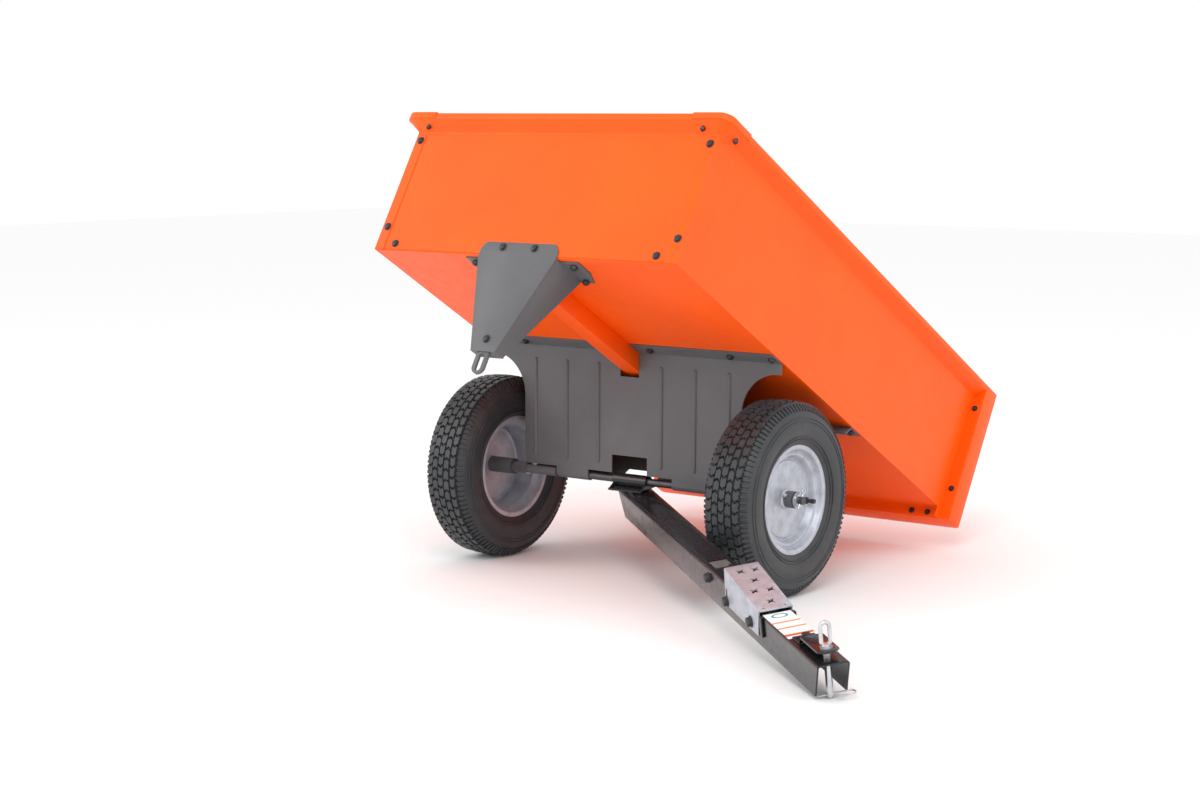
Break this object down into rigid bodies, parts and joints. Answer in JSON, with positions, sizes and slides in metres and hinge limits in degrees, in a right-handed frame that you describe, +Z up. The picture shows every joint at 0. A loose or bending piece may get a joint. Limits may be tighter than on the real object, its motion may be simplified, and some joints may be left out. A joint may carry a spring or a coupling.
{
  "type": "tow behind cart",
  "caption": "Steel dump cart towed by a hitch pin, with tilting bed, swivelling tongue, foot-pedal latch, sliding tailgate and two tyred wheels.",
  "frame": {"origin": "middle of the hitch pin's hole on the tongue's top face, at the tip of the tongue", "axes": "+Z up, +X to the cart's right, +Y towards the cart's tail, square to the axle"},
  "size_m": [1.3629, 1.5293, 0.9662],
  "materials": {
    "paint": "gloss orange powder coat",
    "plate_grey": "satin grey powder coat",
    "gloss_black": "gloss black enamel",
    "silver": "silver paint",
    "zinc": "zinc plated",
    "black_bolt": "black oxide",
    "tyre": "black rubber",
    "bush": "black nylon",
    "valve": "black rubber",
    "label": "printed label film"
  },
  "bodies": {
    "tongue_body": {"tongue": "gloss_black", "hitch_strap": "gloss_black", "hitch_strap_bolt": "black_bolt", "pedal_saddle": "gloss_black", "pedal_pivot_bolt": "black_bolt", "pedal_stop_bolt": "black_bolt", "latch_guides": "gloss_black", "latch_guide_bolts": "black_bolt", "tongue_label": "label"},
    "hub": {"swivel_hub": "gloss_black", "kingpin": "zinc", "kingpin_washers": "zinc", "kingpin_nut": "zinc"},
    "bed": {"bed_floor": "paint", "side_panel_left": "paint", "side_panel_right": "paint", "front_panel": "paint", "rim_corner_left": "paint", "rim_corner_right": "paint", "tailgate_guide_left": "paint", "tailgate_guide_right": "paint", "tail_sill": "paint", "centre_channel": "paint", "latch_bracket": "plate_grey", "latch_striker": "silver", "axle_plate_front": "plate_grey", "axle_plate_rear": "plate_grey", "axle": "zinc", "axle_washers": "zinc", "cotter_pins": "zinc", "front_panel_bolts": "black_bolt", "rim_corner_bolts": "black_bolt", "tail_frame_bolts": "black_bolt", "axle_plate_bolts": "black_bolt", "latch_bracket_bolts": "black_bolt"},
    "gate": {"tailgate": "paint"},
    "pedal": {"foot_pedal": "silver"},
    "latch": {"latch_slide": "zinc", "latch_spring": "zinc"},
    "pin": {"hitch_pin": "zinc"},
    "clip": {"hitch_clip": "zinc"},
    "left_wheel": {"tyre_left": "tyre", "rim_left": "silver", "wheel_hub_left": "plate_grey", "wheel_bushes_left": "bush", "grease_fitting_left": "zinc", "valve_stem_left": "valve"},
    "right_wheel": {"tyre_right": "tyre", "rim_right": "silver", "wheel_hub_right": "plate_grey", "wheel_bushes_right": "bush", "grease_fitting_right": "zinc", "valve_stem_right": "valve"}
  },
  "joints": [
    {"name": "tongue_swivel", "type": "hinge", "parent": "tongue_body", "child": "hub", "pos_m": [-0.89607, 0.66307, 0.12881], "axis": [0, -0.165, 0.9863], "range_deg": [0, 106]},
    {"name": "bed_dump", "type": "hinge", "parent": "hub", "child": "bed", "pos_m": [-0.89607, 0.65518, 0.12748], "axis": [1, 0, 0], "range_deg": [-5, 44.1]},
    {"name": "left_wheel_spin", "type": "hinge", "parent": "bed", "child": "left_wheel", "pos_m": [-1.25907, 0.65518, 0.12748], "axis": [1, 0, 0], "continuous": true},
    {"name": "right_wheel_spin", "type": "hinge", "parent": "bed", "child": "right_wheel", "pos_m": [-0.53307, 0.65518, 0.12748], "axis": [1, 0, 0], "continuous": true},
    {"name": "tailgate_slide", "type": "slide", "parent": "bed", "child": "gate", "axis": [0, 0.509, 0.8607], "range_m": [0, 0.3]},
    {"name": "pedal_rise", "type": "hinge", "parent": "tongue_body", "child": "pedal", "pos_m": [-0.23719, 0.18058, 0.00386], "axis": [0.6018, 0.7877, 0.1318], "range_deg": [0, 5]},
    {"name": "latch_slide", "type": "slide", "parent": "tongue_body", "child": "latch", "axis": [-0.7986, 0.5936, 0.0993], "range_m": [0, 0.0102], "deforming": ["latch_spring"]},
    {"name": "hitch_pin_lift", "type": "slide", "parent": "tongue_body", "child": "pin", "axis": [0, -0.165, 0.9863], "range_m": [0, 0.002]},
    {"name": "hitch_clip_pull", "type": "slide", "parent": "pin", "child": "clip", "axis": [0.6018, 0.7877, 0.1318], "range_m": [0, 0.05]}
  ],
  "couplings": [
    {"joint": "latch_slide", "follows": "pedal_rise", "m_per_rad": 0.11459}
  ]
}
